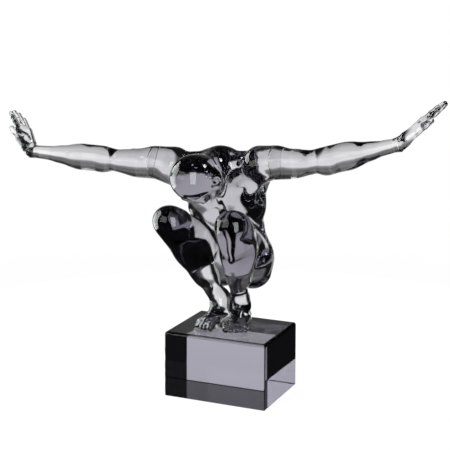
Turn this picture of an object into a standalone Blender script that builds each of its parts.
"""A crouching figure with outstretched arms, in smoke-tinted clear crystal, on a solid crystal block.

The figure faces -Y. Its right side is at -X. The origin is the centre of the block's underside, +Z up.
Body, arms and hands are separate solid castings with ground flat ends. Clear adhesive films bond the arms
to the body, the hands to the arms and the feet to the block. Nothing else is inside: it would show.
"""

import math

import bmesh
import bpy
from mathutils import Matrix, Vector

MM = 0.001

# The block.
BLOCK_WIDTH = 110 * MM
BLOCK_DEPTH = 86.4 * MM
BLOCK_HEIGHT = 67.9 * MM
BLOCK_TOP_EDGE = 3 * MM
BLOCK_EDGE = 0.8 * MM
BLOCK_CORNER = 1.2 * MM
SMALLEST_RADIUS = 0.2 * MM
CORNER_STEPS = 3
EDGE_STEPS = 4

# Adhesive films.
FILM = 0.2 * MM
FILM_GAP = 0.06 * MM
BOND_LINE = FILM + 2 * FILM_GAP
SHOULDER_FILM_RADIUS = 14 * MM
WRIST_FILM_RADIUS = 4.8 * MM
FOOT_FILM_RADII = (6.5 * MM, 8 * MM)  # under the heel and under the ball of the foot

# Skeleton of the figure, in millimetres: x, y, z of each joint centre.
NECK_BASE = (-9, -11, 242)
HEAD = (-16, -50, 228.5)
SHOULDER = {"right": (-58, -18, 234), "left": (36, -12, 239.5)}
ELBOW = {"right": (-134, -21, 235.5), "left": (107.5, -15, 249)}
WRIST = {"right": (-215, -30, 240), "left": (179, -24, 270)}
HIP = {"right": (-34, 49, 130), "left": (3, 50, 131)}
KNEE = {"right": (-50, -37, 181), "left": (19, -39, 182)}
ANKLE = {"right": (-15, 9, 89), "left": (5, 12, 89)}
TOES = {"right": (-20, -22, 72), "left": (13, -20, 72)}
HEEL_HEIGHT = 76
BALL_HEIGHT = 74
OUTWARD = {"right": -1, "left": 1}
SIDES = ("right", "left")

# Radii along each arm, in millimetres, at fractions of the upper arm and then of the forearm.
UPPER_ARM = ((0.0, 17), (0.25, 16), (0.45, 13.8), (0.6, 14.6), (0.85, 12), (1.0, 12.2))
FOREARM = ((0.3, 13.5), (0.65, 9), (1.0, 5.8))
SHOULDER_SEAM = 0.24  # where the arm casting meets the torso, as a fraction of the upper arm

# Hand frame of either hand: outward, back and up parts of three directions.
FINGER_DIRECTION = (0.588, 0.465, 0.661)
INDEX_TO_LITTLE = (-0.23, 0.93, -0.28)
THUMB_VECTOR = (21, 7, 16)
PALM_LENGTH = 29
FINGER_LENGTHS = (25, 28, 26, 20)
FINGER_RADII = (3.2, 3.2, 3.0, 2.7)
KNUCKLE_SPACING = 5.2

# The head as four balls, in millimetres: right, forward (crown) and down (face) offsets, and radius.
HEAD_BALLS = ((0, 6, -3, 21.5), (0, -4, -4, 21.5), (0, 2, 4, 21.5), (0, -17, 9, 12))
CROWN_DIRECTION = Vector((-0.2, -0.97, -0.12)).normalized()
EAR_HEIGHT = -3

DISC_SIDES = 24
BALL_SIDES = 14
HALF_SPACE = 700 * MM  # edge of the cube that stands in for a half-space


def point(xyz):
    """A position given in millimetres, as a vector in metres."""
    return Vector(xyz) * MM


def lerp(a, b, t):
    """The point a fraction t of the way from a to b, in the units they are in."""
    return tuple(p + (q - p) * t for p, q in zip(a, b))


def rotation_to(direction):
    """The rotation that turns +Z to a direction."""
    return Vector((0, 0, 1)).rotation_difference(direction).to_matrix().to_4x4()


# Materials ------------------------------------------------------------------------------------


def make_glass(name, colour):
    material = bpy.data.materials.new(name)
    material.use_nodes = True
    shader = material.node_tree.nodes["Principled BSDF"]
    shader.inputs["Base Color"].default_value = (*colour, 1)
    shader.inputs["Transmission Weight"].default_value = 1
    shader.inputs["Roughness"].default_value = 0.02
    shader.inputs["Metallic"].default_value = 0
    shader.inputs["IOR"].default_value = 1.52
    return material


# Objects and cutters --------------------------------------------------------------------------


def new_object(name, bm, material=None, smooth=True):
    """An object made from a bmesh, with its faces pointing out."""
    bmesh.ops.recalc_face_normals(bm, faces=bm.faces)
    if bm.calc_volume(signed=True) < 0:
        bmesh.ops.reverse_faces(bm, faces=bm.faces)
    mesh = bpy.data.meshes.new(name)
    bm.to_mesh(mesh)
    bm.free()
    if smooth:
        mesh.shade_smooth()
        mesh.set_sharp_from_angle(angle=math.radians(35))
    if material:
        mesh.materials.append(material)
    obj = bpy.data.objects.new(name, mesh)
    bpy.context.scene.collection.objects.link(obj)
    return obj


def as_cutter(obj):
    """Marks an object as a cutter, which is no part of the model."""
    obj.hide_render = True
    obj.display_type = "WIRE"
    return obj


def cut(obj, cutter):
    """Takes a cutter's volume away from an object."""
    modifier = obj.modifiers.new("cut_" + cutter.name, "BOOLEAN")
    modifier.operation = "DIFFERENCE"
    modifier.solver = "EXACT"
    modifier.object = cutter


def half_space(name, place, direction):
    """A cutter that takes away everything on the far side of a plane, along a direction."""
    bm = bmesh.new()
    bmesh.ops.create_cube(bm, size=HALF_SPACE)
    bmesh.ops.translate(bm, verts=bm.verts, vec=(0, 0, HALF_SPACE / 2))
    bm.transform(Matrix.Translation(place) @ rotation_to(direction))
    return as_cutter(new_object(name, bm, smooth=False))


def film(name, outline_discs, thickness, place, direction, material):
    """A thin flat sheet: the convex hull of some discs (x, y, radius), turned to face a direction."""
    bm = bmesh.new()
    for x, y, radius in outline_discs:
        made = bmesh.ops.create_cone(
            bm, cap_ends=False, segments=DISC_SIDES, radius1=radius, radius2=radius, depth=thickness
        )
        bmesh.ops.translate(bm, verts=made["verts"], vec=(x, y, 0))
    bmesh.ops.delete(bm, geom=bm.edges[:], context="EDGES_FACES")
    keep_hull(bm, bm.verts[:])
    bm.transform(Matrix.Translation(place) @ rotation_to(direction))
    return new_object(name, bm, material)


def keep_hull(bm, verts):
    """Wraps loose vertices in their convex hull and deletes those inside it."""
    hull = bmesh.ops.convex_hull(bm, input=verts)
    inside = [vert for vert in hull["geom_interior"] if isinstance(vert, bmesh.types.BMVert)]
    bmesh.ops.delete(bm, geom=inside, context="VERTS")


# Body shapes ----------------------------------------------------------------------------------


def add_hull(bm, balls):
    """Adds the convex hull of some balls (x, y, z, radius in millimetres) to a bmesh."""
    verts = []
    for x, y, z, radius in balls:
        made = bmesh.ops.create_uvsphere(
            bm, u_segments=BALL_SIDES, v_segments=BALL_SIDES // 2, radius=radius * MM
        )
        bmesh.ops.translate(bm, verts=made["verts"], vec=point((x, y, z)))
        verts += made["verts"]
    faces = {face for vert in verts for face in vert.link_faces}
    bmesh.ops.delete(bm, geom=list(faces), context="FACES_ONLY")
    edges = {edge for vert in verts for edge in vert.link_edges}
    bmesh.ops.delete(bm, geom=list(edges), context="EDGES_FACES")
    keep_hull(bm, [vert for vert in verts if vert.is_valid])


def add_chain(bm, balls):
    """Adds a limb: each ball joined to the next one."""
    for pair in zip(balls, balls[1:]):
        add_hull(bm, pair)


def casting(name, bm, material, voxel, keep):
    """One crystal casting: its overlapping shapes fused, smoothed and thinned to a fraction of faces."""
    obj = new_object(name, bm, material)
    fuse = obj.modifiers.new("fuse", "REMESH")
    fuse.mode = "VOXEL"
    fuse.voxel_size = voxel * MM
    fuse.use_smooth_shade = True
    smooth = obj.modifiers.new("smooth", "SMOOTH")
    smooth.factor = 0.5
    smooth.iterations = 4
    thin = obj.modifiers.new("thin", "DECIMATE")
    thin.ratio = keep
    return obj


def torso_shapes(bm):
    """Pelvis, waist, rib cage, back, chest, shoulders and the root of the neck."""
    add_hull(bm, ((-31, 49, 139, 21), (0, 50, 140, 21)))
    add_hull(bm, ((-31, 58, 127, 21), (-25, 60, 136, 19)))
    add_hull(bm, ((1, 59, 127, 21), (-5, 61, 137, 19)))
    add_hull(bm, ((-30, 42, 150, 19), (0, 44, 151, 19), (-32, 18, 184, 18), (8, 19, 185, 18)))
    add_hull(
        bm,
        (
            (-30, 0, 208, 20),
            (11, 2, 210, 20),
            (-33, 12, 192, 18),
            (11, 13, 193, 18),
            (-28, -8, 229, 15),
            (8, -6, 231, 15),
        ),
    )
    x, y, z = lerp(SHOULDER["right"], SHOULDER["left"], 0.5)
    for side in SIDES:
        shoulder, across = SHOULDER[side], OUTWARD[side]
        add_hull(bm, ((x + 33 * across, y + 20, z - 12, 10), (x + 28 * across, y + 30, z - 42, 9)))
        add_hull(bm, ((x + 22 * across, y - 6, z - 15, 11), (x + 7 * across, y - 9, z - 17, 10)))
        add_hull(bm, ((*shoulder, 17), (x + 20 * across, y + 8, z + 1, 13), (x, y + 6, z - 2, 13)))
        add_chain(bm, ((*shoulder, 17), (*lerp(shoulder, ELBOW[side], 0.4), 15.5)))
        add_hull(bm, ((x + 18 * across, y + 14, z + 3, 9), (*NECK_BASE, 9)))
    add_chain(bm, ((*NECK_BASE, 11), (*lerp(NECK_BASE, HEAD, 0.8), 11)))


def head_frame():
    """The head's own directions: right, towards the crown, towards the face."""
    crown = CROWN_DIRECTION
    across = crown.cross(Vector((0, 0, -1))).normalized()
    return across, crown, across.cross(crown)


def head_balls():
    """The skull and jaw, in millimetres."""
    across, crown, face = head_frame()
    balls = []
    for right, forward, down, radius in HEAD_BALLS:
        centre = Vector(HEAD) + across * right + crown * forward + face * down
        balls.append((*centre, radius))
    return balls


def head_shapes(bm):
    across, crown, face = head_frame()
    add_hull(bm, head_balls())
    for sign in (-1, 1):
        ear = Vector(HEAD) + across * 21 * sign + crown * EAR_HEIGHT
        add_hull(bm, ((*(ear + crown * 3), 3), (*(ear - crown * 4), 2.4)))


def arm_balls(side):
    """The arm from the shoulder to past the wrist."""
    shoulder, elbow, wrist = SHOULDER[side], ELBOW[side], WRIST[side]
    balls = [(*lerp(shoulder, elbow, t), radius) for t, radius in UPPER_ARM]
    balls += [(*lerp(elbow, wrist, t), radius) for t, radius in FOREARM]
    return balls + [(*lerp(elbow, wrist, 1.08), 5.8)]


def hand_shapes(bm, side):
    """Palm, four fingers and thumb, spread in the hand's own frame."""
    mirror = Vector((OUTWARD[side], 1, 1))
    fingers = Vector(FINGER_DIRECTION).normalized() * mirror
    across = Vector(INDEX_TO_LITTLE).normalized() * mirror
    thumb = Vector(THUMB_VECTOR) * mirror
    wrist = Vector(WRIST[side])
    forearm = (wrist - Vector(ELBOW[side])).normalized()
    knuckles = [
        wrist + fingers * PALM_LENGTH + across * KNUCKLE_SPACING * (index - 1.5) for index in range(4)
    ]
    heel = [wrist + fingers * 5 + across * offset for offset in (-4, 4)]
    add_chain(bm, ((*(wrist - forearm * 6), 5.4), (*(wrist + fingers * 5), 5.6)))
    add_hull(bm, ((*heel[0], 4.8), (*heel[1], 4.8), (*knuckles[0], 3.7), (*knuckles[3], 3.2)))
    for index, knuckle in enumerate(knuckles):
        spread = across * (index - 1.5) * 0.06
        tip = knuckle + (fingers + spread) * (FINGER_LENGTHS[index] - FINGER_RADII[index])
        radius = FINGER_RADII[index]
        add_chain(bm, ((*knuckle, radius + 0.2), (*tip, radius - 0.5)))
    thumb_base = wrist + fingers * 7 - across * 5
    add_chain(
        bm, ((*thumb_base, 4.6), (*(thumb_base + thumb * 0.5), 3.7), (*(thumb_base + thumb), 2.8))
    )


def foot_direction(side):
    """The level direction from the ankle to the toes."""
    (ankle_x, ankle_y, _), (toe_x, toe_y, _) = ANKLE[side], TOES[side]
    return Vector((toe_x - ankle_x, toe_y - ankle_y, 0)).normalized()


def foot_points(side):
    """The middles of the heel and of the ball of the foot, in millimetres."""
    forward = foot_direction(side)
    heel = Vector((*ANKLE[side][:2], HEEL_HEIGHT)) - forward * 10
    ball = Vector((*TOES[side][:2], BALL_HEIGHT)) - forward * 8
    return heel, ball


def leg_shapes(bm, side):
    """Buttock, thigh, knee, calf and foot of a deep squat."""
    hip, knee, ankle, toes = HIP[side], KNEE[side], ANKLE[side], TOES[side]
    outward = OUTWARD[side]
    x, y, z = hip
    add_hull(bm, ((x + outward, y + 9, z - 6, 21), (x, y + 1, z - 15, 20)))
    add_chain(bm, ((*hip, 22), (*lerp(hip, knee, 0.45), 20.5), (*lerp(hip, knee, 0.8), 17), (*knee, 15.5)))
    x, y, z = lerp(knee, ankle, 0.3)
    lower_calf = lerp(knee, ankle, 0.62)
    add_chain(bm, ((*knee, 15.5), (x, y + 4, z, 15.5), (*lower_calf, 11.5), (*ankle, 8)))
    heel, ball = foot_points(side)
    forward = foot_direction(side)
    across = Vector((-forward.y, forward.x, 0))
    add_hull(
        bm,
        (
            (*heel, 9),
            (*ankle, 8),
            (*(ball + across * 7.5), 6),
            (*(ball - across * 7.5), 6),
        ),
    )
    for index in range(5):
        root = ball + across * (index - 2) * 4.6
        tip = Vector(toes) + across * (index - 2) * 4.8 - forward * 1.2 * abs(index - 2)
        add_hull(bm, ((*root, 4), (*tip, 3.4)))


# Castings -------------------------------------------------------------------------------------


def shoulder_seam(side):
    """The middle of the seam between torso and arm, and the direction along the arm."""
    middle = point(lerp(SHOULDER[side], ELBOW[side], SHOULDER_SEAM))
    return middle, (point(ELBOW[side]) - point(SHOULDER[side])).normalized()


def wrist_seam(side):
    """The middle of the seam between arm and hand, and the direction along the forearm."""
    return point(WRIST[side]), (point(WRIST[side]) - point(ELBOW[side])).normalized()


def build_body(crystal):
    """Torso, head and legs, cast in one piece, with flat ends at the shoulders and under the feet."""
    bm = bmesh.new()
    torso_shapes(bm)
    head_shapes(bm)
    for side in SIDES:
        leg_shapes(bm, side)
    body = casting("body", bm, crystal, voxel=2.0, keep=0.09)
    soles = Vector((0, 0, BLOCK_HEIGHT + BOND_LINE))
    cut(body, half_space("below_soles", soles, Vector((0, 0, -1))))
    for side in SIDES:
        middle, along = shoulder_seam(side)
        cut(body, half_space(side + "_past_shoulder", middle - along * BOND_LINE / 2, along))


def build_arm_and_hand(side, crystal):
    """The arm and the hand of one side, ground flat at both ends of the arm."""
    shoulder, along = shoulder_seam(side)
    wrist, forearm = wrist_seam(side)

    bm = bmesh.new()
    add_chain(bm, arm_balls(side))
    arm = casting(side + "_arm", bm, crystal, voxel=1.8, keep=0.07)
    cut(arm, half_space(side + "_before_shoulder", shoulder + along * BOND_LINE / 2, -along))
    cut(arm, half_space(side + "_past_wrist", wrist - forearm * BOND_LINE / 2, forearm))

    bm = bmesh.new()
    hand_shapes(bm, side)
    hand = casting(side + "_hand", bm, crystal, voxel=1.0, keep=0.1)
    cut(hand, half_space(side + "_before_wrist", wrist + forearm * BOND_LINE / 2, -forearm))


def build_bonds(side, adhesive):
    """The adhesive films of one side: shoulder, wrist and foot."""
    shoulder, along = shoulder_seam(side)
    wrist, forearm = wrist_seam(side)
    film(side + "_shoulder_bond", [(0, 0, SHOULDER_FILM_RADIUS)], FILM, shoulder, along, adhesive)
    film(side + "_wrist_bond", [(0, 0, WRIST_FILM_RADIUS)], FILM, wrist, forearm, adhesive)

    heel, ball = foot_points(side)
    heel_radius, ball_radius = FOOT_FILM_RADII
    discs = [(heel.x * MM, heel.y * MM, heel_radius), (ball.x * MM, ball.y * MM, ball_radius)]
    height = Vector((0, 0, BLOCK_HEIGHT + BOND_LINE / 2))
    film(side + "_foot_bond", discs, FILM, height, Vector((0, 0, 1)), adhesive)


# The block ------------------------------------------------------------------------------------


def rounded_ring(half_width, half_depth, radius):
    """Points round a rectangle with rounded corners, the same number for any size."""
    ring = []
    for index, (right, back) in enumerate(((1, 1), (-1, 1), (-1, -1), (1, -1))):
        centre = Vector((right * (half_width - radius), back * (half_depth - radius)))
        for step in range(CORNER_STEPS + 1):
            angle = math.pi / 2 * (index + step / CORNER_STEPS)
            ring.append(centre + Vector((math.cos(angle), math.sin(angle))) * radius)
    return ring


def edge_profile():
    """How far each ring of the block is inset, and its height, from the underside to the top."""
    profile = []
    for step in range(EDGE_STEPS + 1):
        angle = math.pi / 2 * step / EDGE_STEPS
        profile.append((BLOCK_EDGE * (1 - math.sin(angle)), BLOCK_EDGE * (1 - math.cos(angle))))
    for step in range(EDGE_STEPS + 1):
        angle = math.pi / 2 * step / EDGE_STEPS
        inset = BLOCK_TOP_EDGE * (1 - math.cos(angle))
        profile.append((inset, BLOCK_HEIGHT - BLOCK_TOP_EDGE * (1 - math.sin(angle))))
    return profile


def build_block(crystal):
    """The solid block: crisp ground edges at the sides and below, rounder ones round the top."""
    bm = bmesh.new()
    loops = []
    for inset, height in edge_profile():
        radius = max(BLOCK_CORNER - inset, SMALLEST_RADIUS)
        ring = rounded_ring(BLOCK_WIDTH / 2 - inset, BLOCK_DEPTH / 2 - inset, radius)
        loops.append([bm.verts.new((x, y, height)) for x, y in ring])
    for lower, upper in zip(loops, loops[1:]):
        for quad in zip(lower, lower[1:] + lower[:1], upper[1:] + upper[:1], upper):
            bm.faces.new(quad)
    bm.faces.new(loops[0][::-1])
    bm.faces.new(loops[-1])
    bmesh.ops.triangulate(bm, faces=bm.faces)
    new_object("block", bm, crystal, smooth=False)


def main():
    for obj in list(bpy.data.objects):
        bpy.data.objects.remove(obj, do_unlink=True)
    crystal = make_glass("smoke_crystal", (0.76, 0.75, 0.8))
    adhesive = make_glass("clear_adhesive", (0.95, 0.95, 0.95))
    build_block(crystal)
    build_body(crystal)
    for side in SIDES:
        build_arm_and_hand(side, crystal)
        build_bonds(side, adhesive)


main()
